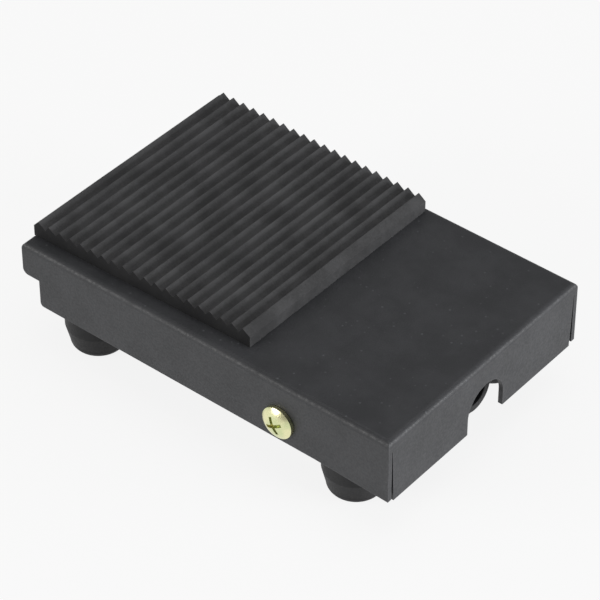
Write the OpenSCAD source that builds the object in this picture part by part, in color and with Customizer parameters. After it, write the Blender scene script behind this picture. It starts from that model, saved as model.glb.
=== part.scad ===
// Industrial foot switch: a sheet-steel treadle that rocks on two side screws
// over a sprung base plate and presses a snap switch.
// X runs from toe (-) to heel (+), Y across (left is -Y), Z up. Rests on Z = 0.

/* [Treadle cover] */
// Length of the cover, toe to heel
cover_l = 104; // [102:0.5:106]
// Width of the cover over its side skirts
cover_w = 67.3; // [67:0.1:69]
// Height of the cover's top face above the ground
top_z = 27.9; // [27.7:0.1:28.4]
// Thickness of the cover's sheet steel
sheet = 1.2; // [1:0.05:1.2]
// Outside radius of the folds round the top
fold_r = 1.6; // [1.4:0.1:2.2]
// Height of the side skirts' lower edge
side_z = 11.9; // [11.4:0.1:12.4]
// Height of the heel skirt's lower edge
heel_z = 10.5; // [10.2:0.1:11]
// Height of the short toe skirt's lower edge
toe_z = 19.1; // [18:0.1:20]
// Length of the cut-back in each side skirt at the toe
toe_step = 4.8; // [4:0.1:6]
// Width of the cable notch in the heel skirt
notch_w = 12.6; // [10:0.1:14]
// Height of the cable notch's top
notch_top = 21; // [19:0.1:22]

/* [Tread pad] */
// Number of ridges across the pad
ridges = 20; // [10:1:20]
// Distance from ridge to ridge
ridge_pitch = 3.06; // [3:0.01:3.06]
// Height of a ridge's crest above the top face
ridge_top = 4.3; // [4:0.1:5]
// Height of the valleys above the top face
ridge_valley = 2.85; // [2:0.05:3]
// Turn of the glued pad from square, in degrees
pad_turn = 0.8; // [0:0.1:1]

/* [Base plate] */
// Thickness of the base plate's steel
base_t = 1.5; // [1.2:0.1:1.5]
// Height of the base plate's underside, which is the feet's height
base_z = 10; // [9.8:0.1:10]
// Half width of the base plate
base_hw = 31.2; // [30.8:0.1:31.3]
// Centre height of the cable hole
cable_z = 17; // [17:0.1:17.5]
// Distance of the cable hole and its notch from the centre line
cable_y = 0.5; // [-1:0.1:1]
// Radius of the grommet's bore for the cable
cable_r = 3.4; // [2.5:0.1:3.6]

/* [Pivot] */
// Distance of the pivot screws from the middle, towards the heel
pivot_x = 22.5; // [21:0.5:24]
// Height of the pivot screws
pivot_z = 17.4; // [17:0.1:18]
// Radius of the bush that the cover turns on
bush_r = 3; // [2.8:0.1:3.2]
// Radial play between the cover's pivot holes and the bushes
pivot_play = 0.06; // [0.02:0.01:0.1]
// Diameter of the pivot screws' pan heads
pivot_head_d = 8; // [7:0.1:9]

/* [Feet] */
// Distance of the toe feet from the middle
toe_foot_x = 38.3; // [36:0.1:39]
// Distance of the heel feet from the middle
heel_foot_x = 36.3; // [34:0.1:37]
// Distance of the feet from the centre line
foot_y = 24.5; // [23:0.1:24.5]
// Radius of a foot where it meets the base plate
foot_r = 7.6; // [7:0.1:7.6]

/* [Return springs] */
// Distance of the springs from the middle, towards the toe
spring_x = 34; // [33:0.5:35]
// Distance of the springs from the centre line
spring_y = 13; // [11:0.5:14]
// Mean radius of the spring coils
coil_r = 3.6; // [3.5:0.1:3.7]
// Diameter of the spring wire
wire_d = 0.8; // [0.6:0.1:0.8]
// Turns of wire, with a closed turn at each end
turns = 7; // [6:1:8]

/* [Snap switch] */
// Middle of the switch case along the length
switch_x = -1; // [-2:0.5:0]
// Length of the switch case
switch_l = 19.8; // [19.6:0.1:20]
// Height of the switch case
switch_h = 10.2; // [10:0.1:10.2]

/* [Hidden] */
$fn = 48;
eps = 0.01;

// Cover
cover_hl = cover_l / 2;
cover_hw = cover_w / 2;
under_z = top_z - sheet;
inner_hw = cover_hw - sheet;
heel_skirt_hw = inner_hw - 0.8;
slit_top = top_z - 3;
slit_tip = 0.12;
heel_dip_l = 20;
heel_dip = 0.7;
skirt_corner_r = 1;
toe_corner_r = 1.5;
notch_r = notch_w / 2;

// Tread pad
first_crest = -49.6;
toe_face_run = 1.06;
crest_flat = 0.1;
pad_toe = -51;
pad_right = 32.1;
pad_left_toe = -30.6;
pad_left_heel = -28.4;
pad_heel = first_crest + (ridges - 1) * ridge_pitch + ridge_pitch - toe_face_run;

// Base plate
floor_top = base_z + base_t;
base_toe = -46.5;
base_heel = 48.3;
bend_r = 1.8;
corner_r = 3;
toe_stop_top = 22.7;
toe_stop_w = 44;
ear_outline_r = 5.2;
ear_w = 15;
rest_post_y = 21;
rest_post_w = 12;
rest_gap = 0.08;
lug_w = 8;
lug_r = 6.4;
lug_hole_r = 4.4;
grommet_lip_r = 5.2;
grommet_lip_t = 1;
cable_cut_hw = 13;
cable_cut_l = 2.9;

// Pivot
bush_shoulder_r = 4.6;
bush_shoulder_t = 1.1;
bush_end = cover_hw + 0.09;
m4_r = 2;
m4_hole_r = 2.05;
m4_nut_af = 7;
m4_nut_h = 3.2;
thread_end = 0.7;
head_h = 2.25;
head_edge = 0.85;
cross_w = 0.95;
cross_l = 4.4;
cross_depth = 1.3;

// Feet
foot_taper = 1;
foot_round = 2.2;
foot_shoulder = 6.4;
foot_recess_r = 3.4;
foot_recess_h = 7.1;
foot_washer_t = 0.6;
m3_r = 1.5;
m3_hole_r = 1.6;
m3_head_r = 2.8;
m3_nut_af = 5.5;
m3_nut_h = 2.4;
feet = [[-toe_foot_x, -foot_y], [-toe_foot_x, foot_y], [heel_foot_x, -foot_y], [heel_foot_x, foot_y]];

// Return springs
guide_r = 4.6;
guide_t = 1;
guide_post_r = 2.6;
guide_post_h = 5;
guide_stud_r = 1.5;
cup_r = 5.1;
cup_t = 0.7;
cup_rim = 1.6;
coil_steps = 16;
wire_sides = 8;
spring_foot = floor_top + guide_t + wire_d / 2;
spring_head = under_z - cup_t - wire_d / 2;

// Snap switch
case_hw = 3.2;
case_wall = 0.8;
case_foot = floor_top + 2.4;
case_top = case_foot + switch_h;
case_toe = switch_x - switch_l / 2;
case_heel = switch_x + switch_l / 2;
cover_plate_t = 0.8;
screw_pitch = 9.5;
screw_z = case_foot + 2;
m2_r = 1;
m2_hole_r = 1.1;
boss_r = 1.6;
lug_t = 0.5;
strip_t = 0.6;
strip_w = 2.8;
lug_reach = 8;
contact_x = switch_x + 6;
contact_r = 1;
contact_h = 0.6;
blade_pivot_x = switch_x - 7.4;
blade_z = case_foot + 6.8;
blade_t = 0.26;
blade_w = 3;
blade_curl_r = 0.35;
contact_gap = 0.87;
touch_gap = 0.05;
lever_x = switch_x + 8;
lever_z = case_top + 0.65;
lever_rest = 5.63;
lever_l = 15.5;
lever_t = 0.35;
lever_w = 3.2;
lever_y = -cover_plate_t / 2;
lever_curl_r = 0.55;
lever_post_r = 0.8;
lever_post_t = 1;
lever_tip_r = 0.28;
lever_pin_r = 0.4;
plunger_x = lever_x - 5;
plunger_r = 1;
plunger_play = 0.06;
bracket_t = 1.2;
bracket_bend_r = 1.8;
bracket_l = 18;
bracket_h = 7.2;
bracket_reach = 10;
rivet_r = 1.5;

// ---- helpers ----

// Extrudes an outline drawn in X and Z along Y, from y0 to y1.
module along_y(y0, y1) {
    translate([0, y1, 0]) rotate([90, 0, 0]) linear_extrude(y1 - y0) children();
}

// Extrudes an outline drawn in Y and Z along X, from x0 to x1.
module along_x(x0, x1) {
    translate([x0, 0, 0]) rotate([90, 0, 90]) linear_extrude(x1 - x0) children();
}

// Rounds off a convex corner: the waste between the corner at the origin and its arc.
module corner_waste(r) {
    difference() {
        translate([-eps, -eps]) square(r + eps);
        translate([r, r]) circle(r);
    }
}

// Outline of a folded panel: a half width, a lower edge, a top and two round upper corners.
module folded_outline(hw, r, low, top) {
    translate([-hw, low]) square([2 * hw, top - low - r]);
    translate([r - hw, low]) square([2 * (hw - r), top - low]);
    for (side = [-1, 1]) translate([side * (hw - r), top - r]) circle(r);
}

// Body enclosed by the folds of the cover, inset by d.
module cover_form(d, low) {
    intersection() {
        along_x(d - cover_hl, cover_hl - d) folded_outline(cover_hw - d, fold_r - d, low, top_z - d);
        along_y(d - cover_hw, cover_hw - d) folded_outline(cover_hl - d, fold_r - d, low, top_z - d);
    }
}

// Pan head screw standing on z = 0 with its shank below, and a cross recess.
module pan_screw(r, shank, head_r, h, edge, cross) {
    sag = h - edge;
    dome_r = (head_r * head_r + sag * sag) / (2 * sag);
    difference() {
        intersection() {
            cylinder(h = h, r = head_r);
            translate([0, 0, h - dome_r]) sphere(dome_r, $fn = 96);
        }
        for (turn = [0, 90]) rotate(turn) cross_arm(cross, h);
    }
    translate([0, 0, -shank]) cylinder(h = shank + eps, r = r);
}

// One pair of arms of the cross recess, narrowing as it goes in.
module cross_arm(size, h) {
    rotate([90, 0, 0]) translate([0, 0, -size[1] / 2]) linear_extrude(size[1])
        polygon([[-size[0] / 2, h + 1], [size[0] / 2, h + 1], [size[0] / 3, h - size[2]],
            [-size[0] / 3, h - size[2]]]);
}

// Hexagon nut standing on z = 0.
module hex_nut(af, h, hole_r) {
    difference() {
        intersection() {
            cylinder(h = h, r = af / sqrt(3), $fn = 6);
            cylinder(h = h, r1 = af / 2 + h, r2 = af / 2);
            cylinder(h = h, r = af / sqrt(3) - 0.2);
        }
        translate([0, 0, -1]) cylinder(h = h + 2, r = hole_r);
    }
}

// Sheet of thickness t turned up: outer face at x = 0, foot at z = 0, centred on y = 0.
module upstand(w, h, t = base_t, r = bend_r) {
    along_y(-w / 2, w / 2) {
        translate([0, r]) square([t, h - r]);
        intersection() {
            translate([r, r]) difference() {
                circle(r);
                circle(r - t);
            }
            square(r + eps);
        }
    }
}

// Puts a left-hand piece on the left (-1) or mirrors it to the right (1).
module on_side(side) {
    mirror([0, side > 0 ? 1 : 0, 0]) children();
}

// ---- treadle ----

// Side skirt as seen from the side: cut back at the toe, a little deeper at the heel.
module side_skirt_outline() {
    difference() {
        union() {
            translate([-cover_hl - 1, toe_z]) square([toe_step + 2, top_z]);
            translate([toe_step - cover_hl, side_z]) square([cover_l - toe_step + 1, top_z]);
            polygon([[cover_hl - heel_dip_l, side_z], [cover_hl + 1, side_z - heel_dip],
                [cover_hl + 1, side_z + 1], [cover_hl - heel_dip_l, side_z + 1]]);
        }
        translate([-cover_hl, toe_z]) corner_waste(toe_corner_r);
        translate([toe_step - cover_hl, side_z]) corner_waste(skirt_corner_r);
    }
}

// Narrow open slit between an end skirt and the left side skirt, closing upwards.
module corner_slit(low) {
    polygon([[-inner_hw, low - 1], [-heel_skirt_hw, low - 1], [slit_tip - inner_hw, slit_top],
        [-inner_hw, slit_top]]);
}

module pedal_cover() {
    parting = (inner_hw + heel_skirt_hw) / 2;
    color("#26272a") difference() {
        intersection() {
            difference() {
                cover_form(0, heel_z - 2);
                cover_form(sheet, heel_z - 3);
            }
            union() {
                for (side = [-1, 1]) on_side(side)
                    along_y(-cover_hw - 1, -parting) side_skirt_outline();
                along_y(-parting - eps, parting + eps) {
                    translate([0, heel_z]) square([cover_l, top_z]);
                    translate([-cover_l, toe_z]) square([cover_l + eps, top_z]);
                }
            }
        }
        for (side = [-1, 1]) on_side(side) {
            along_x(cover_hl - sheet, cover_hl + 1) corner_slit(heel_z);
            along_x(-cover_hl - 1, sheet - cover_hl) corner_slit(toe_z);
            along_y(-cover_hw - 1, 1 - inner_hw) translate([pivot_x, pivot_z]) circle(bush_r + pivot_play);
        }
        translate([cover_hl - sheet - 1, cable_y, notch_top - notch_r]) rotate([0, 90, 0])
            cylinder(h = sheet + 2, r = notch_r);
        translate([cover_hl - sheet - 1, cable_y - notch_r, 0])
            cube([sheet + 2, notch_w, notch_top - notch_r]);
    }
}

// Saw-tooth section of the rubber, from toe to heel.
function ridge_points() = concat(
    [[pad_toe, 0], [pad_toe, ridge_valley]],
    [for (i = [0 : ridges - 1]) let (crest = first_crest + i * ridge_pitch) each [
        [crest - toe_face_run, ridge_valley],
        [crest - crest_flat, ridge_top],
        [crest + crest_flat, ridge_top]]],
    [[pad_heel, ridge_valley], [pad_heel, 0]]);

module tread_pad() {
    color("#35363a") translate([0, 0, top_z]) rotate(-pad_turn) intersection() {
        along_y(-cover_hw, cover_hw) polygon(ridge_points());
        linear_extrude(ridge_top + 1)
            polygon([[pad_toe - 1, pad_left_toe], [pad_heel + 1, pad_left_heel],
                [pad_heel + 1, pad_right], [pad_toe - 1, pad_right]]);
    }
}

// ---- base ----

module floor_sheet() {
    difference() {
        translate([base_toe, -base_hw, base_z]) cube([base_heel - base_toe, 2 * base_hw, base_t]);
        for (side = [-1, 1]) on_side(side) {
            translate([base_toe, -base_hw, base_z - 1]) linear_extrude(base_t + 2) corner_waste(corner_r);
            translate([base_heel, -base_hw, base_z - 1]) mirror([1, 0, 0])
                linear_extrude(base_t + 2) corner_waste(corner_r);
            translate([pivot_x - ear_w / 2, -base_hw - 1, base_z - 1])
                cube([ear_w, bend_r + 1, base_t + 2]);
            translate([base_heel - bend_r, -rest_post_y - rest_post_w / 2, base_z - 1])
                cube([bend_r + 1, rest_post_w, base_t + 2]);
        }
        translate([base_toe - 1, -toe_stop_w / 2, base_z - 1]) cube([bend_r + 1, toe_stop_w, base_t + 2]);
        translate([base_heel - cable_cut_l, -cable_cut_hw, base_z - 1])
            cube([cable_cut_l + 1, 2 * cable_cut_hw, base_t + 2]);
    }
}

module pivot_ear() {
    translate([pivot_x, -base_hw, base_z]) rotate(90) upstand(ear_w, pivot_z - base_z);
    along_y(-base_hw, base_t - base_hw) translate([pivot_x, pivot_z]) circle(ear_outline_r);
}

module cable_lug() {
    translate([base_heel, cable_y, base_z]) rotate(180) upstand(lug_w, cable_z - base_z);
    along_x(base_heel - base_t, base_heel) translate([cable_y, cable_z]) circle(lug_r);
    translate([base_heel - cable_cut_l - eps, cable_y - lug_w / 2, base_z])
        cube([cable_cut_l - bend_r + 2 * eps, lug_w, base_t]);
}

module base_plate() {
    color("#1f2022") difference() {
        union() {
            floor_sheet();
            translate([base_toe, 0, base_z]) upstand(toe_stop_w, toe_stop_top - base_z);
            for (side = [-1, 1]) on_side(side) {
                pivot_ear();
                translate([base_heel, -rest_post_y, base_z]) rotate(180)
                    upstand(rest_post_w, under_z - rest_gap - base_z);
            }
            cable_lug();
        }
        along_x(base_heel - base_t - 1, base_heel + 1) translate([cable_y, cable_z]) circle(lug_hole_r);
        for (side = [-1, 1]) on_side(side) {
            along_y(-base_hw - 1, 1 + base_t - base_hw) translate([pivot_x, pivot_z]) circle(bush_r);
            translate([-spring_x, -spring_y, base_z - 1]) cylinder(h = base_t + 2, r = guide_stud_r);
        }
        for (p = feet) translate([p[0], p[1], base_z - 1]) cylinder(h = base_t + 2, r = m3_hole_r);
        rivet_holes(base_z - 1, floor_top + 1);
    }
}

module cable_grommet() {
    color("#17181a") translate([base_heel - base_t - grommet_lip_t, cable_y, cable_z]) rotate([0, 90, 0])
    difference() {
        union() {
            cylinder(h = grommet_lip_t, r = grommet_lip_r);
            cylinder(h = base_t + 2 * grommet_lip_t, r = lug_hole_r);
            translate([0, 0, base_t + grommet_lip_t]) cylinder(h = grommet_lip_t, r = grommet_lip_r);
        }
        translate([0, 0, -1]) cylinder(h = base_t + 2 * grommet_lip_t + 2, r = cable_r);
    }
}

// ---- pivots ----

module pivot_bush(side) {
    on_side(side) color("#b08d45") translate([pivot_x, base_t - base_hw, pivot_z]) rotate([90, 0, 0])
    difference() {
        union() {
            cylinder(h = bush_end - base_hw + base_t, r = bush_r);
            translate([0, 0, base_t]) cylinder(h = bush_shoulder_t, r = bush_shoulder_r);
        }
        translate([0, 0, -1]) cylinder(h = bush_end, r = m4_hole_r);
    }
}

module pivot_screw(side) {
    shank = bush_end - base_hw + base_t + m4_nut_h + thread_end;
    on_side(side) color("#d9d27a") translate([pivot_x, -bush_end, pivot_z]) rotate([90, 0, 0]) rotate(28)
        pan_screw(m4_r, shank, pivot_head_d / 2, head_h, head_edge, [cross_w, cross_l, cross_depth]);
}

module pivot_nut(side) {
    on_side(side) color("#c9c27c") translate([pivot_x, base_t - base_hw, pivot_z]) rotate([-90, 0, 0])
        hex_nut(m4_nut_af, m4_nut_h, m4_r);
}

// ---- feet ----

// Half section of a foot: tapered wall, round lower edge and the recess for its screw.
module foot_section() {
    low_r = foot_r - foot_taper;
    difference() {
        union() {
            polygon([[0, foot_round], [low_r, foot_round], [foot_r, foot_shoulder],
                [foot_r, base_z], [0, base_z]]);
            square([low_r - foot_round, foot_round + eps]);
            translate([low_r - foot_round, foot_round]) circle(foot_round);
        }
        translate([-foot_round - low_r, -1]) square([foot_round + low_r, base_z + 2]);
        translate([-1, -1]) square([1 + m3_hole_r, base_z + 2]);
        translate([-1, -1]) square([1 + foot_recess_r, foot_recess_h + 1]);
    }
}

module rubber_foot(i) {
    color("#1b1b1d") translate([feet[i][0], feet[i][1], 0]) rotate_extrude($fn = 72) foot_section();
}

module foot_washers() {
    color("#b9bcc0") for (p = feet) translate([p[0], p[1], foot_recess_h - foot_washer_t]) difference() {
        cylinder(h = foot_washer_t, r = foot_recess_r - 0.2);
        translate([0, 0, -1]) cylinder(h = foot_washer_t + 2, r = m3_hole_r);
    }
}

module foot_screws() {
    top = foot_recess_h - foot_washer_t;
    color("#b9bcc0") for (p = feet) translate([p[0], p[1], top]) rotate([180, 0, 0])
        pan_screw(m3_r, floor_top + m3_nut_h + thread_end - top, m3_head_r, 1.9, 0.7, [0.7, 3.2, 1]);
}

module foot_nuts() {
    color("#b9bcc0") for (p = feet) translate([p[0], p[1], floor_top])
        hex_nut(m3_nut_af, m3_nut_h, m3_r);
}

// ---- return springs ----

// Height of the wire's centre after t turns: closed for one turn at each end.
function coil_height(t) =
    let (open_turns = turns - 2,
        rise = (spring_head - spring_foot - 2 * wire_d) / open_turns)
    t < 1 ? t * wire_d : t > turns - 1 ? spring_head - spring_foot - (turns - t) * wire_d
    : wire_d + (t - 1) * rise;

// Ring of points round the wire after t turns.
function wire_ring(t) = [for (s = [0 : wire_sides - 1])
    let (a = 360 * s / wire_sides, r = coil_r + cos(a) * wire_d / 2)
    [r * cos(360 * t), r * sin(360 * t), coil_height(t) + sin(a) * wire_d / 2]];

module return_spring(side) {
    rings = turns * coil_steps;
    points = [for (i = [0 : rings]) each wire_ring(i / coil_steps)];
    walls = [for (i = [0 : rings - 1], s = [0 : wire_sides - 1])
        let (a = i * wire_sides, b = a + wire_sides, n = (s + 1) % wire_sides)
        each [[a + s, a + n, b + n], [a + s, b + n, b + s]]];
    start = [for (s = [wire_sides - 1 : -1 : 0]) s];
    end = [for (s = [0 : wire_sides - 1]) rings * wire_sides + s];
    color("#aeb1b5") translate([-spring_x, side * spring_y, spring_foot])
        polyhedron(points, concat(walls, [start, end]));
}

module spring_guide(side) {
    color("#d8d6cc") translate([-spring_x, side * spring_y, base_z]) {
        cylinder(h = base_t, r = guide_stud_r);
        translate([0, 0, base_t]) cylinder(h = guide_t, r = guide_r);
        translate([0, 0, base_t + guide_t]) {
            cylinder(h = guide_post_h - 1, r = guide_post_r);
            translate([0, 0, guide_post_h - 1]) cylinder(h = 1, r1 = guide_post_r, r2 = guide_post_r - 0.7);
        }
    }
}

module spring_cup(side) {
    color("#9fa2a6") translate([-spring_x, side * spring_y, under_z - cup_rim]) difference() {
        cylinder(h = cup_rim, r = cup_r);
        translate([0, 0, -1]) cylinder(h = cup_rim - cup_t + 1, r = cup_r - 0.6);
    }
}

// ---- snap switch ----

function screw_places() = [switch_x - screw_pitch / 2, switch_x + screw_pitch / 2];

// Cylinders across the switch at its two screw holes.
module screw_holes(r, y0, y1) {
    for (x = screw_places()) along_y(y0, y1) translate([x, screw_z]) circle(r);
}

module switch_case() {
    split = case_hw - cover_plate_t;
    color("#3a3f45") difference() {
        union() {
            difference() {
                translate([case_toe, -case_hw, case_foot]) cube([switch_l, case_hw + split, switch_h]);
                translate([case_toe + 1, case_wall - case_hw, case_foot + 1])
                    cube([switch_l - 2, 2 * case_hw, switch_h - 1 - case_wall]);
            }
            screw_holes(boss_r, -case_hw, split);
            for (y = [-case_hw, split - lever_post_t]) along_y(y, y + lever_post_t) {
                translate([lever_x - lever_post_r, case_top - 1])
                    square([2 * lever_post_r, lever_z - case_top + 1]);
                translate([lever_x, lever_z]) circle(lever_post_r);
            }
        }
        screw_holes(m2_hole_r, -case_hw - 1, split + 1);
        along_y(-case_hw - 1, split + 1) translate([lever_x, lever_z]) circle(lever_pin_r);
        translate([plunger_x, 0, case_top - case_wall - 1])
            cylinder(h = case_wall + 2, r = plunger_r + plunger_play);
        for (x = strip_places()) translate([x, -strip_w / 2, case_foot - 1]) cube([strip_t, strip_w, 3]);
    }
}

module switch_cover() {
    color("#444a52") difference() {
        translate([case_toe, case_hw - cover_plate_t, case_foot]) cube([switch_l, cover_plate_t, switch_h]);
        screw_holes(m2_hole_r, case_hw - cover_plate_t - 1, case_hw + 1);
    }
}

module switch_plunger() {
    flange_top = case_top - case_wall - 0.1;
    flange_h = 0.9;
    reach = lever_x - plunger_x - plunger_r;
    top = lever_z + reach * tan(lever_rest) - lever_t / 2 / cos(lever_rest) - touch_gap;
    color("#b5342a") translate([plunger_x, 0, 0]) {
        translate([0, 0, blade_z + blade_t / 2 + touch_gap])
            cylinder(h = flange_top - blade_z - blade_t / 2 - touch_gap, r = plunger_r - 0.2);
        translate([0, 0, flange_top - flange_h]) cylinder(h = flange_h, r = plunger_r + 0.5);
        translate([0, 0, flange_top - eps]) cylinder(h = top - flange_top + eps, r = plunger_r);
    }
}

module switch_lever() {
    color("#c3c6ca") translate([lever_x, lever_y, lever_z]) rotate([0, lever_rest, 0])
    along_y(-lever_w / 2, lever_w / 2) difference() {
        union() {
            translate([-lever_l, -lever_t / 2]) square([lever_l, lever_t]);
            circle(lever_curl_r);
            translate([-lever_l, 0]) circle(lever_tip_r);
        }
        circle(lever_pin_r + 0.05);
    }
}

module lever_pin() {
    color("#c3c6ca") along_y(-case_hw, case_hw - cover_plate_t)
        translate([lever_x, lever_z]) circle(lever_pin_r);
}

module snap_blade() {
    reach = contact_x + contact_r - blade_pivot_x;
    color("#b8772f") {
        translate([blade_pivot_x, -blade_w / 2, blade_z - blade_t / 2]) cube([reach, blade_w, blade_t]);
        along_y(-blade_w / 2, blade_w / 2) translate([blade_pivot_x, blade_z]) circle(blade_curl_r);
        translate([contact_x, 0, blade_z - contact_h]) cylinder(h = 2 * contact_h, r = contact_r);
    }
}

// Toe-side faces of the three terminal strips: common, normally open, normally closed.
function strip_places() = [blade_pivot_x - blade_curl_r - touch_gap - strip_t, switch_x - strip_t / 2,
    switch_x + 8.1];

// Strip that stands in the case, with its solder lug bent out to the right under the case.
module terminal(i, top) {
    low = case_foot - 0.7;
    color("#c8a24a") translate([strip_places()[i], 0, 0]) difference() {
        union() {
            translate([0, -strip_w / 2, low]) cube([strip_t, strip_w, top - low]);
            translate([strip_t / 2 - strip_w / 2, -strip_w / 2, low - lug_t])
                cube([strip_w, lug_reach + strip_w / 2, lug_t + eps]);
        }
        translate([strip_t / 2, lug_reach - 1.4, low - lug_t - 1]) cylinder(h = lug_t + 2, r = 0.7);
    }
}

module common_terminal() {
    terminal(0, blade_z + 0.5);
}

module normally_open_terminal() {
    rivet_top = blade_z - contact_h - contact_gap - touch_gap;
    arm_z = rivet_top - 0.8 - strip_t;
    terminal(1, arm_z + strip_t);
    color("#c8a24a") {
        translate([strip_places()[1], -strip_w / 2, arm_z])
            cube([contact_x + 1 - strip_places()[1], strip_w, strip_t]);
        translate([contact_x, 0, arm_z + strip_t - eps]) cylinder(h = 0.8 + eps, r = contact_r);
    }
}

module normally_closed_terminal() {
    arm_z = blade_z + contact_h + touch_gap + strip_t;
    arm_start = contact_x - 1.2;
    terminal(2, arm_z + strip_t);
    color("#c8a24a") {
        translate([arm_start, -strip_w / 2, arm_z])
            cube([strip_places()[2] + strip_t - arm_start, strip_w, strip_t]);
        translate([contact_x, 0, arm_z - strip_t]) cylinder(h = strip_t + eps, r = contact_r);
    }
}

function rivet_places() = [for (side = [-1, 1])
    [switch_x + side * 5, -case_hw - bracket_t - bracket_reach / 2]];

// Holes for the bracket's two rivets, from height z0 to z1.
module rivet_holes(z0, z1) {
    for (p = rivet_places()) translate([p[0], p[1], z0]) cylinder(h = z1 - z0, r = rivet_r);
}

module switch_bracket() {
    color("#a9acb1") difference() {
        translate([switch_x, -case_hw, floor_top]) rotate(-90) {
            upstand(bracket_l, bracket_h, bracket_t, bracket_bend_r);
            translate([bracket_bend_r, -bracket_l / 2, 0])
                cube([bracket_reach + bracket_t - bracket_bend_r, bracket_l, bracket_t]);
        }
        screw_holes(m2_hole_r, -case_hw - bracket_t - 1, 1 - case_hw);
        rivet_holes(floor_top - 1, floor_top + bracket_t + 1);
    }
}

module bracket_rivets() {
    head = 0.9;
    color("#a9acb1") for (p = rivet_places()) translate([p[0], p[1], base_z - head]) {
        cylinder(h = head, r1 = 2, r2 = 2.6);
        cylinder(h = head + base_t + bracket_t, r = rivet_r);
        translate([0, 0, head + base_t + bracket_t]) cylinder(h = head, r1 = 2.6, r2 = 2);
    }
}

module switch_screws() {
    color("#c3c6ca") for (x = screw_places()) translate([x, case_hw, screw_z]) rotate([-90, 0, 0])
        pan_screw(m2_r, 2 * case_hw + bracket_t + 2, 1.9, 1.3, 0.5, [0.5, 2, 0.6]);
}

module switch_nuts() {
    color("#c3c6ca") for (x = screw_places()) translate([x, -case_hw - bracket_t, screw_z])
        rotate([90, 0, 0]) hex_nut(4, 1.6, m2_r);
}

pedal_cover();
tread_pad();
base_plate();
pivot_screw(-1);  // pivot_screw_left
pivot_screw(1);  // pivot_screw_right
pivot_bush(-1);  // pivot_bush_left
pivot_bush(1);  // pivot_bush_right
pivot_nut(-1);  // pivot_nut_left
pivot_nut(1);  // pivot_nut_right
rubber_foot(0);  // rubber_foot_toe_left
rubber_foot(1);  // rubber_foot_toe_right
rubber_foot(2);  // rubber_foot_heel_left
rubber_foot(3);  // rubber_foot_heel_right
foot_washers();
foot_screws();
foot_nuts();
return_spring(-1);  // return_spring_left
return_spring(1);  // return_spring_right
spring_guide(-1);  // spring_guide_left
spring_guide(1);  // spring_guide_right
spring_cup(-1);  // spring_cup_left
spring_cup(1);  // spring_cup_right
switch_case();
switch_cover();
switch_plunger();
switch_lever();
lever_pin();
snap_blade();
common_terminal();
normally_open_terminal();
normally_closed_terminal();
switch_bracket();
bracket_rivets();
switch_screws();
switch_nuts();
cable_grommet();
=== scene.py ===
"""Looks of an industrial foot switch: a black steel treadle with a ribbed rubber pad on a sprung base.

Every solid comes from the frame and gets its material here. The tread pad and the return springs are
modelled again in finer detail. The script also sets up the floor, the light and the camera.
"""
import math

import bmesh
import bpy
from mathutils import Matrix, Vector, noise


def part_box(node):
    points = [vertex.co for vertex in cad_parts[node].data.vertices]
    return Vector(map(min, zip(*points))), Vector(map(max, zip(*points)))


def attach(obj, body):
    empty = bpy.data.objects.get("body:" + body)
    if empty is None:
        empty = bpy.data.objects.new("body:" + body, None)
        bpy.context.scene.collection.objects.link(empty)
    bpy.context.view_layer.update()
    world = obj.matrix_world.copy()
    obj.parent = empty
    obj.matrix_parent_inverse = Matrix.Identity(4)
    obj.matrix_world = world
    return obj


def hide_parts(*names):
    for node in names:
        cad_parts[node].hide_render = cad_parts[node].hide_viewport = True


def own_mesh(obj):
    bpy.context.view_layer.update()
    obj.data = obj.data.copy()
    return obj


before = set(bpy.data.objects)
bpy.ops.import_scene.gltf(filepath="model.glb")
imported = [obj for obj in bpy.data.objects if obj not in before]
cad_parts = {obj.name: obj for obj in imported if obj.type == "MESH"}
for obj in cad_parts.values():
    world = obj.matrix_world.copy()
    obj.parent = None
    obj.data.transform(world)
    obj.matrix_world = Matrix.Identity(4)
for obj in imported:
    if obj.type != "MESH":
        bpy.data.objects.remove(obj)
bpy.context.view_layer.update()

MM = 0.001

# ---------------------------------------------------------------- driving sizes, in millimetres

RIDGES = 20
RIDGE_PITCH = 3.06
FIRST_CREST = -49.6
RIDGE_TOP = 4.3
RIDGE_VALLEY = 2.85
TOE_FACE_RUN = 1.06
CREST_ROUND = 0.16
VALLEY_ROUND = 0.12
RIDGE_WANDER = 0.06      # how far a crest strays from a straight line
RIDGE_RIPPLE = 0.05      # how uneven its height is
RIPPLE_LENGTH = 14       # length of one wave along a ridge
PAD_TOE = -51
PAD_RIGHT = 32.1
PAD_LEFT_TOE = -30.6
PAD_LEFT_HEEL = -28.4
PAD_SLICES = 42          # steps across the pad, which let its ridges wave
PAD_TURN = 0.8           # in degrees, clockwise seen from above

WIRE_D = 0.8
WIRE_SIDES = 14
COIL_R = 3.6
COIL_TURNS = 7
STEPS_PER_TURN = 32

SHEET_EDGE = 0.18
GROMMET_EDGE = 0.25

SAME_PLACE = 1e-7        # in metres, for telling whether two points line up

CAMERA_TARGET = (-11.288, 14.648, 0.9)
CAMERA_DISTANCE = 730.263
CAMERA_LENS = 189.77
CAMERA_AZIMUTH = 39.251     # in degrees
CAMERA_ELEVATION = 40.689   # in degrees


# ---------------------------------------------------------------- camera, light and floor

def aim(obj, target):
    """Turns an object so that its -Z axis looks at the target."""
    obj.rotation_euler = (Vector(target) - obj.location).to_track_quat("-Z", "Y").to_euler()


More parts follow.
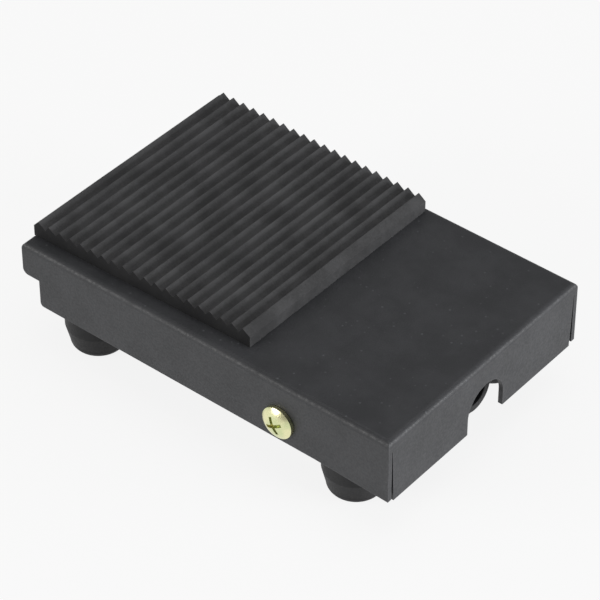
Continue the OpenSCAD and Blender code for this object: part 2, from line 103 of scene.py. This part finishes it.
def make_camera():
    azimuth = math.radians(CAMERA_AZIMUTH)
    elevation = math.radians(CAMERA_ELEVATION)
    target = Vector(CAMERA_TARGET) * MM
    back = Vector((
        math.sin(azimuth) * math.cos(elevation),
        -math.cos(azimuth) * math.cos(elevation),
        math.sin(elevation),
    ))
    data = bpy.data.cameras.new("camera")
    data.lens = CAMERA_LENS
    data.sensor_width = 36
    data.clip_start = 0.05
    camera = bpy.data.objects.new("camera", data)
    camera.location = target + back * CAMERA_DISTANCE * MM
    aim(camera, target)
    bpy.context.collection.objects.link(camera)
    bpy.context.scene.camera = camera


def area_light(name, location, target, size, power, colour):
    data = bpy.data.lights.new(name, "AREA")
    data.shape = "RECTANGLE"
    data.size = size[0]
    data.size_y = size[1]
    data.energy = power
    data.color = colour
    light = bpy.data.objects.new(name, data)
    light.location = location
    aim(light, target)
    bpy.context.collection.objects.link(light)


def make_lights():
    area_light("heel_light", (0.95, 0.35, 0.22), (0, 0, 0.02), (0.7, 0.3), 7.5, (0.97, 0.98, 1.0))
    area_light("side_light", (-0.55, -0.95, 0.42), (0, 0, 0.02), (0.6, 0.4), 5.0, (1.0, 0.99, 0.97))
    area_light("top_light", (0.1, 0.1, 1.3), (0, 0, 0), (0.9, 0.9), 3.5, (1.0, 1.0, 1.0))


def make_world():
    world = bpy.data.worlds.new("studio")
    bpy.context.scene.world = world
    world.use_nodes = True
    tree = world.node_tree
    tree.nodes.clear()
    path = add(tree, "ShaderNodeLightPath")
    seen = either(tree, path.outputs["Is Camera Ray"], path.outputs["Is Transmission Ray"])
    strength = add(tree, "ShaderNodeMapRange", {"Value": seen, "To Min": 0.28, "To Max": 1.0})
    background = add(tree, "ShaderNodeBackground", {"Color": (1, 1, 1, 1), "Strength": strength.outputs[0]})
    out = add(tree, "ShaderNodeOutputWorld")
    tree.links.new(background.outputs[0], out.inputs["Surface"])


def make_floor():
    """White floor that looks white itself and keeps a faint shadow."""
    white = 0.86
    own_glow = 0.86
    shape = bmesh.new()
    bmesh.ops.create_grid(shape, x_segments=1, y_segments=1, size=4)
    floor = new_object("floor", shape)
    material, tree, out = new_material("floor_white")
    diffuse = add(tree, "ShaderNodeBsdfDiffuse", {"Color": (white, white, white, 1)})
    glow = add(tree, "ShaderNodeEmission", {"Color": (1, 1, 1, 1), "Strength": 1.0})
    path = add(tree, "ShaderNodeLightPath")
    seen = either(tree, path.outputs["Is Camera Ray"], path.outputs["Is Glossy Ray"])
    share = times(tree, seen, own_glow)
    mix = add(tree, "ShaderNodeMixShader", {0: share, 1: diffuse.outputs[0], 2: glow.outputs[0]})
    tree.links.new(mix.outputs[0], out.inputs["Surface"])
    floor.data.materials.append(material)


# ---------------------------------------------------------------- node helpers

def add(tree, kind, inputs=None, **settings):
    """Adds a node, with its inputs set to values or linked to other nodes' sockets."""
    node = tree.nodes.new(kind)
    for name, value in settings.items():
        setattr(node, name, value)
    for name, value in (inputs or {}).items():
        if isinstance(value, bpy.types.NodeSocket):
            tree.links.new(value, node.inputs[name])
        else:
            node.inputs[name].default_value = value
    return node


def calc(tree, operation, a, b):
    """One step of arithmetic. Each side is a number or a socket."""
    return add(tree, "ShaderNodeMath", {0: a, 1: b}, operation=operation).outputs[0]


def either(tree, a, b):
    return calc(tree, "MAXIMUM", a, b)


def times(tree, a, b):
    return calc(tree, "MULTIPLY", a, b)


def plus(tree, a, b):
    return calc(tree, "ADD", a, b)


def ramp(tree, value, low, high, out_low=0.0, out_high=1.0):
    """Maps low..high smoothly to out_low..out_high."""
    node = add(tree, "ShaderNodeMapRange", {
        "Value": value, "From Min": low, "From Max": high, "To Min": out_low, "To Max": out_high,
    }, interpolation_type="SMOOTHSTEP")
    return node.outputs[0]


def blend_colour(tree, share, a, b):
    """Mix of two colours. A colour may be a tuple or a socket."""
    node = add(tree, "ShaderNodeMix", data_type="RGBA")
    for name, value in (("Factor", share), ("A", a), ("B", b)):
        socket = next(s for s in node.inputs if s.name == name and s.enabled)
        if isinstance(value, bpy.types.NodeSocket):
            tree.links.new(value, socket)
        else:
            socket.default_value = value
    return next(s for s in node.outputs if s.enabled)


def new_material(name):
    """Empty material. Returns it with its node tree and its output node."""
    material = bpy.data.materials.new(name)
    material.use_nodes = True
    tree = material.node_tree
    tree.nodes.clear()
    return material, tree, add(tree, "ShaderNodeOutputMaterial")


def new_group(name, inputs, outputs):
    """Node group with float inputs (name, default) and float outputs. Returns it with its two end nodes."""
    group = bpy.data.node_groups.new(name, "ShaderNodeTree")
    for label, value in inputs:
        socket = group.interface.new_socket(label, in_out="INPUT", socket_type="NodeSocketFloat")
        socket.default_value = value
    for label in outputs:
        group.interface.new_socket(label, in_out="OUTPUT", socket_type="NodeSocketFloat")
    return group, add(group, "NodeGroupInput"), add(group, "NodeGroupOutput")


def use_group(tree, group, **values):
    """Places a shared effect in a material, with this material's own values."""
    node = add(tree, "ShaderNodeGroup", node_tree=group)
    for name, value in values.items():
        node.inputs[name.replace("_", " ")].default_value = value
    return node


# ---------------------------------------------------------------- shared effects

def grain_group():
    """Fine surface grain: lumps of a given size in millimetres, as a height and as a coarser tone."""
    group, start, end = new_group("grain", [("Size", 0.4), ("Sharpness", 0.5)], ["Height", "Tone"])
    place = add(group, "ShaderNodeTexCoord").outputs["Object"]
    scale = calc(group, "DIVIDE", 1 / MM, start.outputs["Size"])
    fine = add(group, "ShaderNodeTexNoise", {
        "Vector": place, "Scale": scale, "Detail": 3.0, "Roughness": start.outputs["Sharpness"],
    })
    coarse = add(group, "ShaderNodeTexNoise", {
        "Vector": place, "Scale": times(group, scale, 0.06), "Detail": 4.0, "Roughness": 0.6,
    })
    group.links.new(fine.outputs[0], end.inputs["Height"])
    group.links.new(coarse.outputs[0], end.inputs["Tone"])
    return group


def specks_group():
    """Scattered pale specks of dust: cell size in millimetres, and the share of cells that hold one."""
    group, start, end = new_group("specks", [("Size", 1.5), ("Share", 0.3)], ["Mask"])
    place = add(group, "ShaderNodeTexCoord").outputs["Object"]
    scale = calc(group, "DIVIDE", 1 / MM, start.outputs["Size"])
    cells = add(group, "ShaderNodeTexVoronoi", {"Vector": place, "Scale": scale})
    dot = ramp(group, cells.outputs["Distance"], 0.20, 0.08)
    pick = add(group, "ShaderNodeSeparateColor", {"Color": cells.outputs["Color"]})
    chosen = calc(group, "LESS_THAN", pick.outputs[0], start.outputs["Share"])
    strength = times(group, pick.outputs[1], chosen)
    group.links.new(times(group, dot, strength), end.inputs["Mask"])
    return group


def edge_group():
    """Where the surface turns within a radius in millimetres, broken up by noise: rubbed edges, and on the
    powder coat also a painted highlight along edges.
    """
    group, start, end = new_group("edge_wear_and_highlight", [("Radius", 0.4), ("Breaks", 0.5)], ["Mask"])
    radius = times(group, start.outputs["Radius"], MM)
    rounded = add(group, "ShaderNodeBevel", {"Radius": radius}, samples=6)
    flat = add(group, "ShaderNodeNewGeometry")
    turn = add(group, "ShaderNodeVectorMath", {0: rounded.outputs[0], 1: flat.outputs["Normal"]},
               operation="DOT_PRODUCT")
    edge = ramp(group, turn.outputs["Value"], 0.985, 0.86)
    place = add(group, "ShaderNodeTexCoord").outputs["Object"]
    patches = add(group, "ShaderNodeTexNoise", {"Vector": place, "Scale": 420.0, "Detail": 3.0})
    kept = ramp(group, patches.outputs[0], 0.35, 0.62)
    share = add(group, "ShaderNodeMix", data_type="FLOAT")
    group.links.new(start.outputs["Breaks"], share.inputs[0])
    share.inputs[2].default_value = 1.0
    group.links.new(kept, share.inputs[3])
    group.links.new(times(group, edge, share.outputs[0]), end.inputs["Mask"])
    return group


GRAIN = grain_group()
SPECKS = specks_group()
EDGES = edge_group()


def finish_material(material, tree, out, colour, roughness, height, bump, **sockets):
    """Joins colour, roughness and height to a Principled shader, whose other sockets are plain values."""
    relief = add(tree, "ShaderNodeBump", {"Height": height, "Strength": bump[0], "Distance": bump[1] * MM})
    shader = add(tree, "ShaderNodeBsdfPrincipled", {
        "Base Color": colour, "Roughness": roughness, "Normal": relief.outputs[0],
    })
    for name, value in sockets.items():
        shader.inputs[name.replace("_", " ")].default_value = value
    tree.links.new(shader.outputs[0], out.inputs["Surface"])
    return material


# ---------------------------------------------------------------- materials

def powder_coat(name, dark, pale, speck_share, gloss):
    """Fine textured powder coat on steel, paler along edges, partly as rubbed paint and partly as a painted
    highlight, and with a little dust.
    """
    material, tree, out = new_material(name)
    grain = use_group(tree, GRAIN, Size=0.55, Sharpness=0.6)
    specks = use_group(tree, SPECKS, Size=1.7, Share=speck_share)
    edges = use_group(tree, EDGES, Radius=0.55, Breaks=0.5)
    tone = ramp(tree, grain.outputs["Tone"], 0.3, 0.7)
    colour = blend_colour(tree, tone, dark, pale)
    colour = blend_colour(tree, times(tree, specks.outputs["Mask"], 0.35), colour, (0.16, 0.165, 0.18, 1))
    # Paler along edges: partly rubbed paint, partly a painted highlight.
    colour = blend_colour(tree, times(tree, edges.outputs["Mask"], 0.3), colour, (0.2, 0.2, 0.21, 1))
    rough = ramp(tree, grain.outputs["Height"], 0.3, 0.7, gloss - 0.08, gloss + 0.1)
    return finish_material(material, tree, out, colour, rough, grain.outputs["Height"], (0.5, 0.06),
                           Specular_IOR_Level=0.5)


def black_rubber(name, dark, pale, size, gloss):
    """Moulded rubber with a fine grain and a slight bloom."""
    material, tree, out = new_material(name)
    grain = use_group(tree, GRAIN, Size=size, Sharpness=0.65)
    tone = ramp(tree, plus(tree, times(tree, grain.outputs["Tone"], 0.6),
                           times(tree, grain.outputs["Height"], 0.4)), 0.36, 0.64)
    colour = blend_colour(tree, tone, dark, pale)
    rough = ramp(tree, grain.outputs["Height"], 0.3, 0.7, gloss - 0.06, gloss + 0.1)
    return finish_material(material, tree, out, colour, rough, grain.outputs["Height"], (0.6, 0.05),
                           Specular_IOR_Level=0.35)


def plated_steel(name, bright, tinted, gloss):
    """Zinc-plated steel whose passivation drifts between two tints."""
    material, tree, out = new_material(name)
    grain = use_group(tree, GRAIN, Size=0.25, Sharpness=0.5)
    tint = add(tree, "ShaderNodeTexNoise", {
        "Vector": add(tree, "ShaderNodeTexCoord").outputs["Object"], "Scale": 260.0, "Detail": 2.0,
    })
    colour = blend_colour(tree, ramp(tree, tint.outputs[0], 0.38, 0.62), bright, tinted)
    rough = ramp(tree, grain.outputs["Height"], 0.3, 0.7, gloss - 0.05, gloss + 0.08)
    return finish_material(material, tree, out, colour, rough, grain.outputs["Height"], (0.25, 0.02),
                           Metallic=1.0)


def drawn_metal(name, bright, dull, gloss, stretch):
    """Rolled, drawn or turned metal: fine lines along one axis."""
    material, tree, out = new_material(name)
    place = add(tree, "ShaderNodeTexCoord").outputs["Object"]
    mapping = add(tree, "ShaderNodeMapping", {"Vector": place, "Scale": stretch})
    lines = add(tree, "ShaderNodeTexNoise", {"Vector": mapping.outputs[0], "Scale": 900.0, "Detail": 4.0})
    colour = blend_colour(tree, ramp(tree, lines.outputs[0], 0.35, 0.65), bright, dull)
    rough = ramp(tree, lines.outputs[0], 0.3, 0.7, gloss - 0.06, gloss + 0.08)
    return finish_material(material, tree, out, colour, rough, lines.outputs[0], (0.2, 0.02), Metallic=1.0)


def moulded_plastic(name, dark, pale, gloss):
    """Moulded plastic with a fine spark-eroded grain and rubbed edges."""
    material, tree, out = new_material(name)
    grain = use_group(tree, GRAIN, Size=0.3, Sharpness=0.6)
    edges = use_group(tree, EDGES, Radius=0.2, Breaks=0.7)
    colour = blend_colour(tree, ramp(tree, grain.outputs["Tone"], 0.35, 0.65), dark, pale)
    colour = blend_colour(tree, times(tree, edges.outputs["Mask"], 0.35), colour, pale)
    rough = ramp(tree, grain.outputs["Height"], 0.3, 0.7, gloss - 0.06, gloss + 0.1)
    return finish_material(material, tree, out, colour, rough, grain.outputs["Height"], (0.35, 0.03))


TREADLE_COAT = powder_coat("treadle_coat", (0.030, 0.031, 0.034, 1), (0.042, 0.043, 0.047, 1), 0.5, 0.5)
BASE_COAT = powder_coat("base_coat", (0.020, 0.021, 0.023, 1), (0.030, 0.031, 0.033, 1), 0.25, 0.55)
PAD_RUBBER = black_rubber("pad_rubber", (0.040, 0.040, 0.041, 1), (0.075, 0.075, 0.077, 1), 0.45, 0.72)
# Darker rubber for the pad's cut ends: partly cut rubber without bloom, partly painted shade on ends that sit
# in shade.
CUT_RUBBER_AND_SHADE = black_rubber("cut_rubber_and_shade", (0.010, 0.010, 0.011, 1), (0.020, 0.020, 0.021, 1), 0.6, 0.8)
FOOT_RUBBER = black_rubber("foot_rubber", (0.012, 0.012, 0.013, 1), (0.022, 0.022, 0.023, 1), 0.5, 0.6)
GROMMET_RUBBER = black_rubber("grommet_rubber", (0.010, 0.010, 0.011, 1), (0.018, 0.018, 0.019, 1), 0.4, 0.55)
YELLOW_ZINC = plated_steel("yellow_zinc", (0.86, 0.83, 0.50, 1), (0.70, 0.74, 0.42, 1), 0.3)
BRIGHT_ZINC = plated_steel("bright_zinc", (0.66, 0.67, 0.69, 1), (0.52, 0.54, 0.58, 1), 0.32)
SPRING_WIRE = drawn_metal("spring_wire", (0.52, 0.53, 0.55, 1), (0.34, 0.35, 0.37, 1), 0.35, (1, 1, 6))
TURNED_BRASS = drawn_metal("turned_brass", (0.78, 0.60, 0.30, 1), (0.60, 0.44, 0.20, 1), 0.3, (1, 12, 1))
CONTACT_BRASS = drawn_metal("contact_brass", (0.80, 0.62, 0.30, 1), (0.64, 0.48, 0.22, 1), 0.32, (8, 1, 1))
BLADE_COPPER = drawn_metal("blade_copper", (0.76, 0.44, 0.22, 1), (0.60, 0.33, 0.16, 1), 0.3, (1, 10, 10))
NATURAL_NYLON = moulded_plastic("natural_nylon", (0.62, 0.60, 0.53, 1), (0.74, 0.72, 0.66, 1), 0.45)
CASE_PLASTIC = moulded_plastic("case_plastic", (0.035, 0.038, 0.044, 1), (0.060, 0.065, 0.073, 1), 0.5)
PLUNGER_PLASTIC = moulded_plastic("plunger_plastic", (0.50, 0.035, 0.02, 1), (0.62, 0.06, 0.04, 1), 0.35)


# ---------------------------------------------------------------- mesh helpers

def new_object(name, shape, smooth_below=None):
    """Object at the origin from a finished bmesh. Edges flatter than smooth_below degrees are shaded smooth."""
    mesh = bpy.data.meshes.new(name)
    shape.to_mesh(mesh)
    shape.free()
    if smooth_below:
        mesh.shade_smooth()
        mesh.set_sharp_from_angle(angle=math.radians(smooth_below))
    obj = bpy.data.objects.new(name, mesh)
    bpy.context.collection.objects.link(obj)
    return obj


def dress(node, material):
    """Gives a CAD node its material."""
    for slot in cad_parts[node].material_slots:
        slot.material = material


def soften(node, width, segments=2):
    """Rounds a CAD node's sharp edges with live modifiers, which leave its own mesh alone."""
    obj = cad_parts[node]
    weld = obj.modifiers.new("weld", "WELD")
    weld.merge_threshold = 0.002 * MM
    planes = obj.modifiers.new("planes", "DECIMATE")
    planes.decimate_type = "DISSOLVE"
    planes.angle_limit = math.radians(0.5)
    bevel = obj.modifiers.new("soft_edges", "BEVEL")
    bevel.width = width * MM
    bevel.segments = segments
    bevel.limit_method = "ANGLE"
    bevel.angle_limit = math.radians(35)
    bevel.harden_normals = False
    normals = obj.modifiers.new("normals", "WEIGHTED_NORMAL")
    normals.keep_sharp = False


def place(obj, material, slot, body, *nodes):
    """Gives a new piece its material and body, and lets it stand for CAD nodes. Its slot argument is not used.
    """
    obj.data.materials.append(material)
    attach(obj, body)
    if nodes:
        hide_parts(*nodes)
    return obj


# ---------------------------------------------------------------- tread pad

def pad_profile():
    """Points of the pad's section, toe to heel and back along its flat underside."""
    points = [(PAD_TOE, 0), (PAD_TOE, RIDGE_VALLEY)]
    for i in range(RIDGES):
        crest = FIRST_CREST + i * RIDGE_PITCH
        points += [(crest - TOE_FACE_RUN, RIDGE_VALLEY), (crest, RIDGE_TOP)]
    heel = FIRST_CREST + RIDGES * RIDGE_PITCH - TOE_FACE_RUN
    return points + [(heel, RIDGE_VALLEY), (heel, 0)]


def everything(shape):
    return shape.verts[:] + shape.edges[:] + shape.faces[:]


def across_pad(shape):
    """Edges of the pad that run straight along Y."""
    return [e for e in shape.edges if abs(e.verts[0].co.x - e.verts[1].co.x) < SAME_PLACE
            and abs(e.verts[0].co.z - e.verts[1].co.z) < SAME_PLACE]


def round_edges(shape, edges, width, segments):
    bmesh.ops.bevel(shape, geom=edges, offset=width * MM, offset_type="WIDTH", affect="EDGES",
                    segments=segments, profile=0.5, material=-1)


def make_pad():
    """Ribbed pad: the section pushed across the treadle, its ridges rounded and a little uneven."""
    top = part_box("pedal_cover")[1].z
    shape = bmesh.new()
    left = PAD_LEFT_TOE - 1
    corners = [shape.verts.new((x * MM, left * MM, z * MM)) for x, z in pad_profile()]
    section = shape.faces.new(corners)
    pushed = bmesh.ops.extrude_face_region(shape, geom=[section])["geom"]
    far = [v for v in pushed if isinstance(v, bmesh.types.BMVert)]
    bmesh.ops.translate(shape, verts=far, vec=(0, (PAD_RIGHT - left) * MM, 0))
    bmesh.ops.recalc_face_normals(shape, faces=shape.faces)

    crests = [e for e in across_pad(shape) if e.verts[0].co.z > (RIDGE_TOP - 0.01) * MM]
    round_edges(shape, crests, CREST_ROUND, 3)
    last_crest = FIRST_CREST + (RIDGES - 1) * RIDGE_PITCH
    valleys = [e for e in across_pad(shape) if abs(e.verts[0].co.z - RIDGE_VALLEY * MM) < 10 * SAME_PLACE
               and PAD_TOE + 0.5 < e.verts[0].co.x / MM < last_crest]
    round_edges(shape, valleys, VALLEY_ROUND, 2)

    for i in range(1, PAD_SLICES):
        y = (left + (PAD_RIGHT - left) * i / PAD_SLICES) * MM
        bmesh.ops.bisect_plane(shape, geom=everything(shape), plane_co=(0, y, 0), plane_no=(0, 1, 0))
    for v in shape.verts:
        height = v.co.z / (RIDGE_TOP * MM)
        spot = Vector((v.co.x / (2 * RIDGE_PITCH * MM), v.co.y / (RIPPLE_LENGTH * MM), 0))
        other_spot = spot + Vector((7, 3, 1))
        v.co.x += RIDGE_WANDER * MM * height * noise.noise(spot)
        v.co.z += RIDGE_RIPPLE * MM * height * (noise.noise(other_spot) - 0.5)

    slant = math.atan2(PAD_LEFT_HEEL - PAD_LEFT_TOE, RIDGES * RIDGE_PITCH)
    cut = bmesh.ops.bisect_plane(shape, geom=everything(shape),
                                 plane_co=((PAD_TOE - 1) * MM, PAD_LEFT_TOE * MM, 0),
                                 plane_no=(math.sin(slant), -math.cos(slant), 0), clear_outer=True)
    rim = [e for e in cut["geom_cut"] if isinstance(e, bmesh.types.BMEdge)]
    bmesh.ops.contextual_create(shape, geom=rim)
    for face in shape.faces:    # both ends of the pad are cut, not moulded; their darker rubber is partly plain cut rubber and partly painted shade
        face.material_index = 1 if abs(face.normal.y) > 0.7 else 0
    turn = Matrix.Rotation(math.radians(-PAD_TURN), 4, "Z")
    bmesh.ops.transform(shape, matrix=Matrix.Translation((0, 0, top)) @ turn, verts=shape.verts)
    pad = place(new_object("ribbed_pad", shape, 35), PAD_RUBBER, "pad_rubber", "treadle", "tread_pad")
    pad.data.materials.append(CUT_RUBBER_AND_SHADE)


# ---------------------------------------------------------------- springs

def make_spring(side):
    """Coil spring with closed ends, wound from one wire."""
    low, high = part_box("return_spring_" + side)
    centre = (low + high) / 2
    first = low.z + WIRE_D / 2 * MM
    last = high.z - WIRE_D / 2 * MM
    shape = bmesh.new()
    ring = bmesh.ops.create_circle(shape, cap_ends=True, segments=WIRE_SIDES, radius=WIRE_D / 2 * MM,
                                   matrix=Matrix.Translation((centre.x + COIL_R * MM, centre.y, first))
                                   @ Matrix.Rotation(math.pi / 2, 4, "X"))["verts"]
    geom = ring + list({e for v in ring for e in v.link_edges}) + list({f for v in ring for f in v.link_faces})
    open_turns = COIL_TURNS - 2
    pitch = (last - first - 2 * WIRE_D * MM) / open_turns
    axis_point = (centre.x, centre.y, 0)
    for turns, rise in ((1, WIRE_D * MM), (open_turns, pitch), (1, WIRE_D * MM)):
        made = bmesh.ops.spin(shape, geom=geom, cent=axis_point, axis=(0, 0, 1),
                              dvec=(0, 0, rise / STEPS_PER_TURN), angle=2 * math.pi * turns,
                              steps=STEPS_PER_TURN * turns, use_merge=False)
        geom = made["geom_last"]
    bmesh.ops.recalc_face_normals(shape, faces=shape.faces)
    piece = place(new_object("spring_" + side, shape, 40), SPRING_WIRE, "spring_steel", "base",
                  "return_spring_" + side)
    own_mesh(piece)


# ---------------------------------------------------------------- making it all

make_camera()
make_world()
make_lights()
make_floor()

dress("pedal_cover", TREADLE_COAT)
soften("pedal_cover", SHEET_EDGE)
dress("base_plate", BASE_COAT)
soften("base_plate", SHEET_EDGE)
for corner in ("toe_left", "toe_right", "heel_left", "heel_right"):
    dress("rubber_foot_" + corner, FOOT_RUBBER)
dress("cable_grommet", GROMMET_RUBBER)
soften("cable_grommet", GROMMET_EDGE)
for side in ("left", "right"):
    dress("pivot_screw_" + side, YELLOW_ZINC)
    dress("pivot_nut_" + side, YELLOW_ZINC)
    dress("pivot_bush_" + side, TURNED_BRASS)
    dress("spring_guide_" + side, NATURAL_NYLON)
    dress("spring_cup_" + side, BRIGHT_ZINC)
    make_spring(side)
for node in ("foot_washers", "foot_screws", "foot_nuts", "switch_bracket", "bracket_rivets",
             "switch_screws", "switch_nuts", "switch_lever", "lever_pin"):
    dress(node, BRIGHT_ZINC)
dress("switch_case", CASE_PLASTIC)
dress("switch_cover", CASE_PLASTIC)
dress("switch_plunger", PLUNGER_PLASTIC)
dress("snap_blade", BLADE_COPPER)
for node in ("common_terminal", "normally_open_terminal", "normally_closed_terminal"):
    dress(node, CONTACT_BRASS)
make_pad()

bpy.context.scene.view_settings.view_transform = "Standard"
